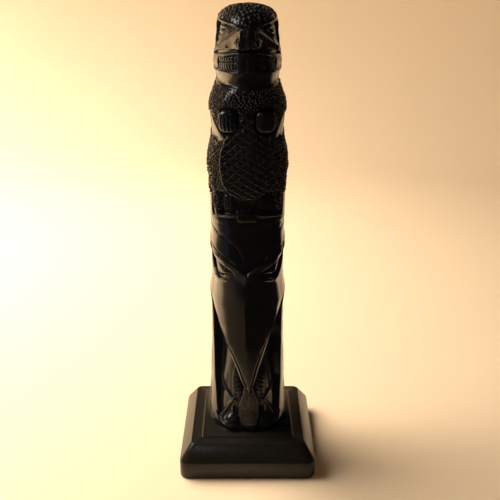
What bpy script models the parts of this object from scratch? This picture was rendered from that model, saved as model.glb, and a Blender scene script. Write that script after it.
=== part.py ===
"""Small totem pole of cast resin: a beaver sits above a bird with a long beak, on a square plinth.

Metres, +Z up. The origin is under the middle of the plinth, and the figures face -Y.
"""

import math

import bmesh
import bpy
import numpy as np

# Plinth
PLINTH_WIDTH = 0.060
PLINTH_HEIGHT = 0.01515
PLINTH_SIDE_HEIGHT = 0.0083
PLINTH_TOP_WIDTH = 0.0502
PLINTH_CORNER_RADIUS = 0.004
PLINTH_FOOT_EDGE = 0.0007
PANEL_WIDTH = 0.0406
PANEL_RISE = 0.0006
PANEL_CORNER_RADIUS = 0.0012
CORNER_STEPS = 6

# Pole
CONTACT_GAP = 0.0003
POLE_HEIGHT = 0.1834
BODY_WIDTH = 0.032
BODY_DEPTH = 0.0305
FOOT_WIDTH = 0.039

# The carving is drawn on a scale of the pole's own height: it reads 16 at the foot and 199.4 at the top.
SCALE_FOOT = 16.0
SCALE_TOP = 199.4
UNIT = POLE_HEIGHT / (SCALE_TOP - SCALE_FOOT)
FOOT_SHARE = FOOT_WIDTH / BODY_WIDTH

# The D section: a rounded front and an almost flat back that meet at the widest place.
FRONT_POWER = 2.3
BACK_POWER = 5.0
WIDEST_FROM_BACK = 3.2
DOME_START = 191.0
DOME_POWER = 2.2

# Fineness of the carved surface before it is thinned
FRONT_STEP = 0.42
BACK_STEP = 2.2
HEIGHT_STEP = 0.55
DOME_STEPS = 26
KEPT_FACES = 9300

# Carved details
TEETH = 7
FIRST_TOOTH = 5.2
TOOTH_PITCH = 1.75
CLAWS = 5
FINGERS = 5
FEATHERS = 4
HATCH_DEPTH = 0.45

RESIN = (0.012, 0.011, 0.012, 1.0)
RESIN_ROUGHNESS = 0.16

# Height on the scale, and half the width as a share of the body's, from the foot up
OUTLINE = (
    (16.0, FOOT_SHARE),
    (17.2, 1.200),
    (20.0, 1.155),
    (24.0, 1.118),
    (30.0, 1.086),
    (44.0, 1.062),
    (56.0, 1.034),
    (70.0, 1.032),
    (77.0, 1.068),
    (84.0, 1.012),
    (90.0, 0.998),
    (98.0, 0.998),
    (102.0, 1.034),
    (106.0, 1.006),
    (110.0, 1.010),
    (116.0, 1.010),
    (124.0, 1.020),
    (128.0, 1.000),
    (132.0, 0.966),
    (136.7, 1.004),
    (141.0, 1.014),
    (147.4, 0.925),
    (151.5, 0.940),
    (157.0, 0.962),
    (162.0, 0.960),
    (166.0, 0.865),
    (170.0, 0.794),
    (174.0, 0.850),
    (178.0, 0.888),
    (184.0, 0.816),
    (189.0, 0.752),
    (192.5, 0.786),
    (196.0, 0.806),
    (199.4, 0.806),
)

# Height on the scale, and how square the front of the section is there: 2 is a half ellipse
SECTION = (
    (16.0, 2.5),
    (30.0, 2.3),
    (50.0, 2.3),
    (88.0, 2.6),
    (96.0, 3.2),
    (160.0, 3.2),
    (168.0, 2.2),
    (176.0, 2.0),
    (199.4, 2.1),
)


def clear_scene():
    for item in list(bpy.data.objects):
        bpy.data.objects.remove(item, do_unlink=True)


def resin(name, colour, roughness):
    material = bpy.data.materials.new(name)
    material.use_nodes = True
    shader = material.node_tree.nodes["Principled BSDF"]
    shader.inputs["Base Color"].default_value = colour
    shader.inputs["Roughness"].default_value = roughness
    shader.inputs["Metallic"].default_value = 0.0
    return material


def eased(value, low, high):
    """0 below low, 1 above high, and a smooth curve between."""
    share = np.clip((value - low) / (high - low), 0.0, 1.0)
    return share * share * (3.0 - 2.0 * share)


class Carving:
    """How far the surface stands out, over a grid of girth positions and heights."""

    def __init__(self, girth, height, points, normal):
        lean = np.interp(height, (34, 38, 62, 90, 96, 173, 180, 186), (0.6, 0.4, -0.5, -0.6, 0, -0.5, -0.5, 0))
        lean = lean * (np.abs(girth) < 30)
        self.signed = girth - lean
        self.side = np.abs(self.signed)
        self.height = height
        self.place = np.stack([np.abs(points[:, :, 0] - lean), points[:, :, 1], points[:, :, 2]], axis=2)
        self.facing = np.stack([np.abs(normal[:, :, 0]), normal[:, :, 1], normal[:, :, 2]], axis=2)
        self.level = np.zeros_like(girth)

    def to_plane(self, through, towards):
        """The level that brings the surface to a plane through a place and facing towards a direction."""
        towards = np.array(towards) / np.linalg.norm(towards)
        lacking = (np.array(through) - self.place) @ towards
        return lacking / np.maximum(self.facing @ towards, 0.35)

    def along(self, path):
        """Distance to a path, and how far along it the nearest place is."""
        ends = np.array(path, float)
        lengths = np.hypot(*np.diff(ends, axis=0).T)
        total = lengths.sum()
        nearest = np.full(self.side.shape, 1e9)
        place = np.zeros(self.side.shape)
        start = 0.0
        for first, last, length in zip(ends[:-1], ends[1:], lengths):
            run = (last - first) / length
            offset = (self.side - first[0]) * run[0] + (self.height - first[1]) * run[1]
            offset = np.clip(offset, 0.0, length)
            away = np.hypot(self.side - first[0] - offset * run[0], self.height - first[1] - offset * run[1])
            closer = away < nearest
            nearest = np.where(closer, away, nearest)
            place = np.where(closer, (start + offset) / total, place)
            start += length
        return nearest, place

    def inside(self, outline):
        """Distance in from a closed outline, negative outside it.

        An outline that starts and ends on the centre line goes on over its other side.
        """
        outline = list(outline)
        if outline[0][0] == 0 and outline[-1][0] == 0:
            outline += [(-side, height) for side, height in reversed(outline) if side > 0]
        away, _ = self.along(outline + [outline[0]])
        crossed = np.zeros(self.side.shape, bool)
        for (x0, y0), (x1, y1) in zip(outline, outline[1:] + [outline[0]]):
            if y0 == y1:
                continue
            between = (self.height > min(y0, y1)) & (self.height <= max(y0, y1))
            crossed ^= between & (self.side < x0 + (self.height - y0) * (x1 - x0) / (y1 - y0))
        return np.where(crossed, away, -away)

    def ridge(self, path, width, height):
        """A rounded bead. Width and height may each be a pair that runs from start to end."""
        away, place = self.along(path)
        width = np.interp(place, (0, 1), width) if isinstance(width, tuple) else width
        height = np.interp(place, (0, 1), height) if isinstance(height, tuple) else height
        share = np.clip(1.0 - (away / width) ** 2, 0.0, 1.0)
        self.level += height * share ** 1.5

    def groove(self, path, width, depth):
        away, _ = self.along(path)
        self.level -= depth * np.clip(1.0 - away / width, 0.0, 1.0)

    def plateau(self, outline, level, soft=0.5):
        """Brings a field to a level, or to a level given over the whole grid."""
        mask = eased(self.inside(outline), -soft, soft)
        self.level = self.level * (1.0 - mask) + level * mask

    def oval(self, centre, radii, power=2.0):
        """1 at an oval's centre and 0 at its edge."""
        away = np.abs((self.side - centre[0]) / radii[0]) ** power
        away += np.abs((self.height - centre[1]) / radii[1]) ** power
        return np.clip(1.0 - away, 0.0, 1.0)

    def mound(self, centre, radii, height, power=2.0):
        self.level += height * self.oval(centre, radii, power) ** 0.75


def carve_beaver_head(c):
    brow = [(0, 190.5), (3.8, 191.0), (8, 192.2), (13, 193.0), (23, 193.6), (34, 194.0)]
    cheek = c.to_plane((2.8, -17.2, 186), (0.87, -0.49, 0.07))
    cheek = np.minimum(cheek, np.interp(c.side, (17, 23, 27), (3.0, 0.1, -0.3)))
    socket = [(2.6, 190.3), (8, 191.6), (13, 192.4), (23, 193.0), (33, 193.4), (34, 184), (26, 182.8), (19.3, 184.3), (12.6, 186.5), (7.1, 188.7)]
    c.level += 0.5 * eased(c.height, 194.2, 191.2)
    c.plateau(socket, np.minimum(cheek - 1.4, -0.9), 0.2)
    c.ridge(brow, 0.8, 0.5)
    eye = [(12.4, 189.8), (18.5, 191.4), (24.5, 191.5), (29, 190), (26.5, 187.6), (21.4, 186.3)]
    depth = c.inside(eye)
    c.level += 0.8 * np.clip(1.0 - ((depth - 0.3) / 0.5) ** 2, 0, 1)
    c.level += 1.4 * eased(depth, 0.9, 2.6)

    upper = [(2.2, 190.4), (7.1, 188.7), (12.6, 186.5), (19.3, 184.3), (26, 182.8), (32, 182.0)]
    c.plateau(upper + [(32, 181.0), (19, 182.1), (12.2, 183.0), (0, 183.2), (0, 190.8)], cheek, 0.16)
    bridge = c.to_plane((0, -17.6, 186), (0, -1, 0.09)) - 0.05 * c.side ** 2
    c.plateau([(0, 190.8), (1.6, 190.6), (2.8, 189.5), (2.8, 184.6), (2.2, 183.2), (0, 183.0)], bridge, 0.2)
    c.mound((3.8, 185.0), (2.4, 2.2), 1.2)
    c.groove([(4.6, 185.7), (3.3, 186.4), (2.2, 185.6), (2.3, 184.3), (3.5, 183.7), (4.9, 183.5)], 0.35, 0.6)

    c.plateau([(0, 183.1), (12, 182.9), (19, 182.0), (26, 181.0), (26, 180.2), (17, 180.7), (8, 181.8), (0, 182.2)], -0.9, 0.2)
    lips = [(3.5, 181.6), (9.5, 180.9), (18.3, 179.6), (25, 177.8), (30, 175.9), (25, 174.7), (17.5, 174.5), (9.5, 174.5), (3.3, 174.7)]
    mouth = [(0, 181.8)] + lips + [(0, 174.8)]
    depth = c.inside(mouth)
    c.plateau(mouth, 0.0, 0.2)
    c.level += 0.5 * np.clip(1.0 - ((depth - 0.1) / 0.45) ** 2, 0, 1)
    c.level -= 0.9 * eased(depth, 0.4, 0.8) * (1.0 - eased(c.side, 17.4, 18.2))
    for tooth in range(TEETH):
        girth = FIRST_TOOTH + TOOTH_PITCH * tooth
        upper = c.oval((girth, 179.55 - 0.13 * tooth), (0.84, 1.0), 4.0)
        lower = c.oval((girth, 176.7 - 0.08 * tooth), (0.84, 1.5), 4.0)
        c.level += 1.0 * np.maximum(upper, lower) ** 0.4
    c.plateau([(0, 181.9), (3.9, 181.7), (4.0, 178), (3.5, 174.5), (0, 174.4)], 1.1, 0.2)
    c.groove([(0, 182), (0, 174.2)], 0.3, 0.6)

    c.ridge([(0, 171.6), (10, 171.9), (20, 172.2), (32, 172.8)], (2.9, 2.2), (1.2, 0.6))
    c.groove([(0, 168.5), (10, 168.8), (20, 169.2), (36, 170.0)], 1.1, 0.7)
    c.mound((36.0, 188.2), (3.6, 4.2), 1.6)
    c.mound((36.0, 187.8), (2.1, 2.5), -1.6)


def carve_beaver_body(c):
    c.mound((26, 161), (11, 9), 0.5)
    c.mound((0, 162), (15, 7), 0.7)
    tail = [(0, 157.8), (3.6, 157.3), (6.3, 153.2), (9.8, 148.2), (10.9, 143.4), (11.0, 137), (10.4, 130.4), (7.6, 126), (4, 124), (0, 123.2)]
    c.mound((25, 137.5), (11, 11), 0.7)
    c.ridge([(21, 136), (19, 127), (16, 119)], 5.0, 0.9)
    c.plateau([(0, 128), (16, 127), (20.2, 128), (20.5, 118), (19.4, 115.4), (0, 116.6)], -1.6, 0.3)
    depth = c.inside(tail)
    c.plateau(tail, 1.3 + 2.2 * eased(depth, 0.0, 9.0), 0.25)
    down = math.radians(32)
    up = math.radians(43)
    falling = c.signed * math.sin(down) + c.height * math.cos(down)
    rising = c.signed * math.sin(up) - c.height * math.cos(up)
    for across, pitch, share in ((falling, 2.7, 1.0), (rising, 3.0, 0.65)):
        near = np.abs((across / pitch) % 1.0 - 0.5) * pitch
        c.level -= share * HATCH_DEPTH * np.clip(1.0 - (pitch / 2 - near) / 0.34, 0, 1) * eased(depth, 0.3, 0.6)

    c.mound((11.6, 122.2), (6.6, 3.6), 1.3, 2.6)
    for claw in range(CLAWS):
        girth = 6.2 + 2.3 * claw
        c.groove([(girth, 123.4), (girth + 0.2, 119.0)], 0.4, 0.5)
    rim = [(0, 118.0), (3.8, 117.9), (8, 117.6), (13, 117.0), (18.9, 116.1), (20.1, 116.8), (20.5, 118.5), (20.6, 127.6), (25, 129.4), (44, 130)]
    rim += [(44, 112), (0, 112)]
    c.plateau(rim, 0.35, 0.15)
    c.level += 0.35 * np.clip(1.0 - ((c.inside(rim) - 0.3) / 0.35) ** 2, 0, 1) * (c.side < 21.6) * (c.height > 114)
    c.groove([(4.4, 116.0), (14.3, 115.9), (22, 115.2), (44, 115.0)], 0.3, 0.35)
    c.plateau([(0, 117.9), (3.7, 117.9), (3.9, 115.6), (3.3, 115.0), (0, 115.0)], 0.9, 0.15)

    arm = [(40, 155.2), (30, 153.6), (22, 151.8), (17, 150.6), (12.5, 149.8), (9.6, 149.6)]
    c.ridge(arm, (5.4, 1.5), (1.6, 0.9))
    c.level -= 1.2 * eased(c.oval((8.3, 155.8), (5.6, 5.6), 2.6), 0.0, 0.25)
    paw = c.oval((8.2, 155.8), (4.7, 4.6), 2.8)
    c.level = np.maximum(c.level, np.where(paw > 0, 0.6 + 2.3 * paw ** 0.45, -9))
    for finger in range(FINGERS):
        girth = 5.0 + 1.6 * finger
        c.groove([(girth, 157.6), (girth, 150.8)], 0.36, 0.6)
    for notch in range(3):
        c.groove([(24 + 3.6 * notch, 158.2 - 0.6 * notch), (25 + 3.6 * notch, 155.2)], 0.5, 0.5)


def carve_bird_head(c):
    spread = np.clip(1.0 - c.side / 21.0, 0.0, 1.0)
    swell = np.interp(c.height, (86, 93, 100, 108, 113), (4.9, 3.6, 2.2, 1.0, 0.4))
    high = eased(c.height, 92, 102)
    swell *= eased(c.height, 80, 86)
    c.level += swell * (spread ** 1.1 * (1 - high) + np.clip(1 - (c.side / 24) ** 2, 0, 1) * high)
    c.groove([(34, 112.4), (20, 110.6), (14.0, 109.2), (9.7, 107.6), (5.9, 105.1), (3.4, 102.6), (1.8, 98.4)], 0.5, 0.55)
    c.groove([(34, 105.6), (24, 104.2), (14.3, 101.8), (10.9, 100.2), (7.1, 98.5), (3.0, 96.9)], 0.5, 0.55)

    crest = np.interp(c.height, (35, 40, 60, 84, 91, 97), (3.4, 4.4, 6.2, 5.8, 4.6, 3.4))
    edge = [(41, 84.0), (30, 79.2), (20, 74.4), (13.6, 70.3), (8.2, 63.2), (5.6, 57.2), (4.2, 53.2), (2.7, 48.2), (1.6, 43.3), (0.7, 39.5), (0, 34.8)]
    brow = [(0, 91.0), (0.8, 92.0), (3.3, 94.2), (5.5, 95.7), (8.5, 97.3), (13, 99.0), (19.3, 100.7), (26, 102.4), (34, 103.4), (42, 104)]
    lower = [(0, 33.2), (1.7, 39.0), (2.8, 43.0), (4.0, 47.6), (5.6, 52.4), (7.0, 56.4), (9.6, 62.2), (14.6, 68.6), (20.6, 72.6), (30, 77.4), (41, 82), (34, 84), (0, 64)]
    beak = crest * spread ** 1.5
    c.plateau(lower, beak - 0.5, 0.2)
    below = np.interp(c.side, [p[0] for p in brow], [p[1] for p in brow]) - c.height
    band = (0.1 + 1.1 * np.clip(below / 3.4, 0, 1)) * eased(c.side, 0.3, 4.0) * (1.0 - eased(below, 4.0, 9.0))
    band *= 1.0 - 0.9 * eased(c.side, 20, 28)
    c.plateau(brow + edge, beak + band, 0.16)
    c.groove(edge[:-1], 0.32, 0.8)

    eye = [(25, 100.0), (15, 97.2), (9.5, 95.8), (5.6, 94.2), (4.4, 92.6), (7.5, 90.4), (12, 88.9), (16.5, 89.2), (20.5, 91.2), (24, 95.2)]
    depth = c.inside(eye)
    c.level -= 2.0 * eased(depth, -0.15, 0.3)
    c.level += 1.5 * eased(depth, 0.8, 3.4) * (1.0 - eased(c.side, 20, 25))
    lid = [(25.6, 98.6), (24.8, 94.6), (21.0, 90.4), (16.7, 88.4), (12, 88.1), (7.2, 89.7)]
    c.ridge(lid, 0.6, 0.45)


def carve_bird_body(c):
    wing = [(0, 70), (24, 74), (23, 66), (22.5, 56), (20.8, 49.3), (19.8, 37.2), (17, 25.7), (14.5, 20.4), (0, 17)]
    c.plateau(wing, np.interp(c.height, (16, 22, 34, 48, 60), (-0.6, -2.0, -2.8, -4.2, -4.6)), 0.4)
    leg = c.oval((6.2, 38.4), (3.2, 8.4), 2.4)
    c.level += 1.9 * leg ** 0.6
    c.level -= 0.45 * np.clip(1.0 - np.abs(leg - 0.45) / 0.2, 0, 1)
    c.ridge([(18.4, 38.4), (14.7, 34.0), (9.2, 30.4)], 1.4, 1.1)
    c.ridge([(8.0, 29.4), (11.3, 24.4), (13.6, 21.0)], 1.5, 1.1)
    c.ridge([(7.8, 29.4), (7.8, 26.4), (7.4, 23.0)], 1.3, 0.9)
    c.mound((8.0, 19.6), (4.2, 3.5), 2.2)
    tail = [(0, 42), (1.6, 39.5), (2.7, 34), (4.2, 29), (4.2, 22.6), (3.2, 18.6), (1.6, 17.2), (0, 17.0)]
    c.plateau(tail, -0.9 + 0.5 * np.clip(1.0 - (c.side / 4.2) ** 2, 0, 1), 0.3)

    c.level -= 0.8 * np.clip(1.0 - np.abs(c.oval((31, 42.0), (5.2, 8.0), 2.4) - 0.28) / 0.2, 0, 1)
    c.level -= 0.7 * np.clip(1.0 - np.abs(c.oval((31, 42.5), (2.6, 4.2)) - 0.3) / 0.3, 0, 1)
    rim = [(0, 16.4), (0, 17.4), (8, 17.6), (13.5, 19.0), (16.4, 22), (18, 20), (16, 16.4)]
    c.plateau(rim, 0.4, 0.25)
    for feather in range(FEATHERS):
        girth = 26.0 + 3.4 * feather
        c.groove([(girth, 32.6 - abs(girth - 31) * 0.3), (girth + 0.5, 19.5)], 0.6, 0.6)
    c.groove([(27, 66), (34, 71), (41, 72)], 0.7, 0.6)
    c.groove([(26, 58), (34, 64), (41, 65)], 0.7, 0.6)


def section_curve():
    """Half of the D section, front centre to back centre: girth, share of half width, share of depth."""
    turn = np.linspace(0.0, math.pi / 2, 1500)
    front = (np.sin(turn) ** (2 / FRONT_POWER), np.cos(turn) ** (2 / FRONT_POWER))
    back = (np.cos(turn) ** (2 / BACK_POWER), -np.sin(turn) ** (2 / BACK_POWER))
    across = np.concatenate([front[0], back[0][1:]])
    deep = np.concatenate([front[1], back[1][1:]])
    half_width = 0.5 * BODY_WIDTH / UNIT
    front_depth = BODY_DEPTH / UNIT - WIDEST_FROM_BACK
    x = half_width * across
    y = np.where(deep > 0, deep * front_depth, deep * WIDEST_FROM_BACK)
    girth = np.concatenate([[0.0], np.cumsum(np.hypot(np.diff(x), np.diff(y)))])
    return girth, across, deep


def base_surface():
    """The column before carving: girth and height of each grid place, and its position."""
    table = section_curve()
    last = table[0][-1]
    near = np.arange(0.0, 40.0, FRONT_STEP)
    far = np.linspace(40.0, last, max(4, round((last - 40.0) / BACK_STEP) + 1))
    half = np.concatenate([near, far])
    girth = np.concatenate([-half[1:-1][::-1], half])
    rows = np.arange(SCALE_FOOT, DOME_START, HEIGHT_STEP)
    rise = np.linspace(0.0, math.radians(87), DOME_STEPS)
    dome_height = DOME_START + (SCALE_TOP - DOME_START) * np.sin(rise) ** (2 / DOME_POWER)
    height = np.concatenate([rows, dome_height])
    shrink = np.concatenate([np.ones(len(rows)), np.cos(rise) ** (2 / DOME_POWER)])

    fine = np.linspace(SCALE_FOOT, SCALE_TOP, 1200)
    smooth = np.interp(fine, [row[0] for row in OUTLINE], [row[1] for row in OUTLINE])
    padded = np.concatenate([np.full(8, smooth[0]), smooth, np.full(8, smooth[-1])])
    smooth = np.convolve(padded, np.ones(17) / 17, mode="valid")
    half_width = 0.5 * BODY_WIDTH / UNIT * np.interp(height, fine, smooth) * shrink
    back = 0.5 * BODY_DEPTH / UNIT
    widest = back - WIDEST_FROM_BACK
    front = back * np.interp(height, (SCALE_FOOT, 20, 26, 110, 165, 178), (1.08, 1.05, 1.0, 1.0, 1.0, 0.96))
    across = np.interp(np.abs(girth), table[0], table[1]) * np.sign(girth)
    deep = np.interp(np.abs(girth), table[0], table[2])
    x = half_width[:, None] * across[None, :]
    power = np.interp(height, [row[0] for row in SECTION], [row[1] for row in SECTION])[:, None]
    round_front = (1.0 - np.abs(across[None, :]) ** power) ** (1.0 / power) * (deep > 0)[None, :]
    forward = (front + widest)[:, None] * shrink[:, None] * round_front
    behind = WIDEST_FROM_BACK * shrink[:, None] * np.clip(-deep, 0, None)[None, :]
    y = widest * shrink[:, None] - forward + behind
    z = np.repeat(height[:, None], len(girth), axis=1)
    grid_girth = np.repeat(girth[None, :], len(height), axis=0)
    return grid_girth, z, np.stack([x, y, z], axis=2)


def outward(points):
    """Unit normals of the closed grid."""
    around = np.roll(points, -1, axis=1) - np.roll(points, 1, axis=1)
    upward = np.gradient(points, axis=0)
    normal = np.cross(around, upward)
    return normal / np.maximum(np.linalg.norm(normal, axis=2, keepdims=True), 1e-12)


def carved_points():
    girth, height, points = base_surface()
    normal = outward(points)
    lower = Carving(girth, height, points, normal)
    carve_bird_body(lower)
    carve_bird_head(lower)
    upper = Carving(girth, height, points, normal)
    carve_beaver_head(upper)
    carve_beaver_body(upper)
    level = np.where(height > 113.5, upper.level, lower.level)
    level *= eased(height, SCALE_FOOT + 0.2, SCALE_FOOT + 2.5)
    level *= 1.0 - eased(np.abs(girth), 39.0, 43.0)
    beside = eased(np.abs(girth), 21.0, 31.0)
    level = level * np.where(level > 0, 1.0 - 0.65 * beside, 1.0 - 0.4 * beside * (height > 171))
    normal[:, :, 2] *= eased(height, DOME_START - 2, DOME_START + 4)
    return points + normal * level[:, :, None]


def skin(name, rings, material):
    """One closed body: rings of equal count bridged in turn, with a cap at each end."""
    mesh = bmesh.new()
    loops = [[mesh.verts.new(place) for place in ring] for ring in rings]
    count = len(loops[0])
    for low, high in zip(loops[:-1], loops[1:]):
        for place in range(count):
            after = (place + 1) % count
            mesh.faces.new((low[place], low[after], high[after], high[place]))
    mesh.faces.new(loops[0][::-1])
    mesh.faces.new(loops[-1])
    bmesh.ops.recalc_face_normals(mesh, faces=mesh.faces)
    bmesh.ops.triangulate(mesh, faces=[face for face in mesh.faces if len(face.verts) > 4])
    data = bpy.data.meshes.new(name)
    mesh.to_mesh(data)
    mesh.free()
    body = bpy.data.objects.new(name, data)
    bpy.context.scene.collection.objects.link(body)
    data.materials.append(material)
    return body


def rounded_square(width, radius, z):
    ring = []
    reach = width / 2 - radius
    for quarter in range(4):
        start = quarter * math.pi / 2
        middle = start + math.pi / 4
        corner = reach * math.sqrt(2)
        for step in range(CORNER_STEPS + 1):
            angle = start + step * math.pi / 2 / CORNER_STEPS
            x = corner * math.cos(middle) + radius * math.cos(angle)
            y = corner * math.sin(middle) + radius * math.sin(angle)
            ring.append((x, y, z))
    return ring


def build_plinth(material):
    top_radius = PLINTH_CORNER_RADIUS * 0.6
    panel_top = PLINTH_HEIGHT + PANEL_RISE
    rings = [
        rounded_square(PLINTH_WIDTH - 2 * PLINTH_FOOT_EDGE, PLINTH_CORNER_RADIUS - PLINTH_FOOT_EDGE, 0.0),
        rounded_square(PLINTH_WIDTH, PLINTH_CORNER_RADIUS, PLINTH_FOOT_EDGE),
        rounded_square(PLINTH_WIDTH, PLINTH_CORNER_RADIUS, PLINTH_SIDE_HEIGHT),
        rounded_square(PLINTH_TOP_WIDTH, top_radius, PLINTH_HEIGHT),
        rounded_square(PANEL_WIDTH, PANEL_CORNER_RADIUS, PLINTH_HEIGHT),
        rounded_square(PANEL_WIDTH, PANEL_CORNER_RADIUS, panel_top),
    ]
    plinth = skin("plinth", rings, material)
    plinth.data.shade_smooth()
    plinth.data.set_sharp_from_angle(angle=math.radians(30))
    return plinth


def build_pole(material):
    points = carved_points() * UNIT
    base = PLINTH_HEIGHT + PANEL_RISE + CONTACT_GAP
    points[:, :, 2] += base - SCALE_FOOT * UNIT
    pole = skin("totem_pole", points.tolist(), material)
    faces = len(pole.data.polygons)
    triangles = sum(len(face.vertices) - 2 for face in pole.data.polygons)
    thin = pole.modifiers.new("thin", "DECIMATE")
    thin.ratio = KEPT_FACES / triangles
    thin.use_collapse_triangulate = True
    pole.data.shade_smooth()
    pole.data.set_sharp_from_angle(angle=math.radians(50))
    print(f"pole grid of {faces} faces, thinned to about {KEPT_FACES}")
    return pole


def main():
    clear_scene()
    material = resin("black_resin", RESIN, RESIN_ROUGHNESS)
    build_plinth(material)
    build_pole(material.copy())


main()
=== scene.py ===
# %% [markdown]
# # A small cast totem pole, carved by functions
#
# Two figures stand on a square plinth: a beaver that shows its teeth and holds its
# cross-hatched tail, and below it a bird with a long straight beak and folded wings.
# Everything is one glossy black casting on a satin black plinth.
#
# The method is the carver's own. We start from a plain column with a D section, unroll its
# surface into a grid of girth positions and heights, and work out for each place on that
# grid how far the carving stands out or goes in. Fur tufts are then laid on by Geometry
# Nodes, and procedural materials and a simple studio finish the picture.

import math

import bmesh
import bpy
import numpy as np
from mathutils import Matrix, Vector


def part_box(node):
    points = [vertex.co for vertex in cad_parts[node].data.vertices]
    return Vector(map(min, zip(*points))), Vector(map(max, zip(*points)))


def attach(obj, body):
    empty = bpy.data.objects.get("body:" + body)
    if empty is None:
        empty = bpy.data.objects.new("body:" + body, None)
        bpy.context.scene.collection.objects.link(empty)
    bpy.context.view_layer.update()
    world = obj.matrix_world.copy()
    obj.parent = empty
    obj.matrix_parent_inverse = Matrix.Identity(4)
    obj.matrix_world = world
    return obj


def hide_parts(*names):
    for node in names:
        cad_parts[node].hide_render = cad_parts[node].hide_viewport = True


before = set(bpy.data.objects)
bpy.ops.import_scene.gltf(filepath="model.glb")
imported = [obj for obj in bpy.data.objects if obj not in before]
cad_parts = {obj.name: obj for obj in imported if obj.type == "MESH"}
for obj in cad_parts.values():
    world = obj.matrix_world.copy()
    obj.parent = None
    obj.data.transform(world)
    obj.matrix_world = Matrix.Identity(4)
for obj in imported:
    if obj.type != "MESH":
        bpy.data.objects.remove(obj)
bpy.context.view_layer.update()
POLE_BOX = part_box("totem_pole")
PLINTH_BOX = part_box("plinth")

# %% [markdown]
# ## Scale
#
# The carving is drawn on a scale of the pole's own height, which reads 16 at the foot and
# 199.4 at the top. On the real object that is close to millimetres above the table. Girth is
# read along the D section from the middle of the front, in the same units.

# %% Sizes
SCALE_FOOT = 16.0
SCALE_TOP = 199.4
POLE_FOOT = POLE_BOX[0][2]
UNIT = (POLE_BOX[1][2] - POLE_FOOT) / (SCALE_TOP - SCALE_FOOT)
BODY_WIDTH = 32.0
BODY_DEPTH = 30.5
FOOT_HALF_WIDTH = 19.5
FRONT_POWER = 2.3
BACK_POWER = 5.0
WIDEST_FROM_BACK = 3.2
DOME_START = 191.0
DOME_POWER = 2.2
BEAVER_FOOT = 113.5

# The grid is fine up to this girth, and carving fades over the sides to the plain back.
FINE_REACH = 42.0
SIDE_FADE = (21.0, 31.0)
BACK_FADE = (39.0, 43.0)
GIRTH_STEP = 0.21
HEIGHT_STEP = 0.23
BACK_STEP = 1.6
DOME_STEPS = 60
CARVED_FACES = 125_000

# Height on the scale, and half the width as a share of the body's, from the foot up
OUTLINE = (
    (16.0, FOOT_HALF_WIDTH / 16.0),
    (17.2, 1.200),
    (20.0, 1.155),
    (24.0, 1.118),
    (30.0, 1.086),
    (44.0, 1.062),
    (56.0, 1.034),
    (70.0, 1.032),
    (77.0, 1.068),
    (84.0, 1.012),
    (90.0, 0.998),
    (98.0, 0.998),
    (102.0, 1.034),
    (106.0, 1.006),
    (110.0, 1.010),
    (116.0, 1.010),
    (124.0, 1.020),
    (128.0, 1.000),
    (132.0, 0.966),
    (136.7, 1.004),
    (141.0, 1.014),
    (147.4, 0.925),
    (151.5, 0.940),
    (157.0, 0.962),
    (162.0, 0.960),
    (166.0, 0.865),
    (170.0, 0.794),
    (174.0, 0.850),
    (178.0, 0.888),
    (184.0, 0.816),
    (189.0, 0.752),
    (192.5, 0.786),
    (196.0, 0.806),
    (199.4, 0.806),
)
# Height on the scale, and the depth of the rounded front as a share of the body's
FRONT_DEPTH = ((16.0, 1.08), (20.0, 1.05), (26.0, 1.0), (110.0, 1.0), (165.0, 1.0), (178.0, 0.96))
# Height on the scale, and how square the front of the section is there: 2 is a half ellipse
SECTION = (
    (16.0, 2.5),
    (30.0, 2.3),
    (50.0, 2.3),
    (88.0, 2.6),
    (96.0, 3.2),
    (160.0, 3.2),
    (168.0, 2.2),
    (176.0, 2.0),
    (199.4, 2.1),
)
print(f"one unit of the carving is {UNIT * 1000:.3f} mm")

# %% [markdown]
# ## Carving tools
#
# A carver needs few tools, and so do we. A ridge leaves a rounded bead along a path, a
# groove cuts a V, a plateau brings a whole field to one level, and a mound swells an oval.
# Each works on the unrolled surface, and both halves of the figure are carved alike. Like
# the hand-made original, the centre line leans a little to one side at the mouth and beak.


# %% The carving class
def eased(value, low, high):
    """0 below low, 1 above high, and a smooth curve between."""
    share = np.clip((value - low) / (high - low), 0.0, 1.0)
    return share * share * (3.0 - 2.0 * share)


def read_off(path, at):
    """The second number of a path's places, read off where the first one is at."""
    return np.interp(at, [place[0] for place in path], [place[1] for place in path])


COATS = ("body_fur", "crown_fur", "down")
# Height on the scale, and how far the centre line of the front leans to one side there
LEAN = ((34, 0.6), (38, 0.4), (62, -0.5), (90, -0.6), (96, 0), (173, -0.5), (180, -0.5), (186, 0))
LEAN_REACH = 30


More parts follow.
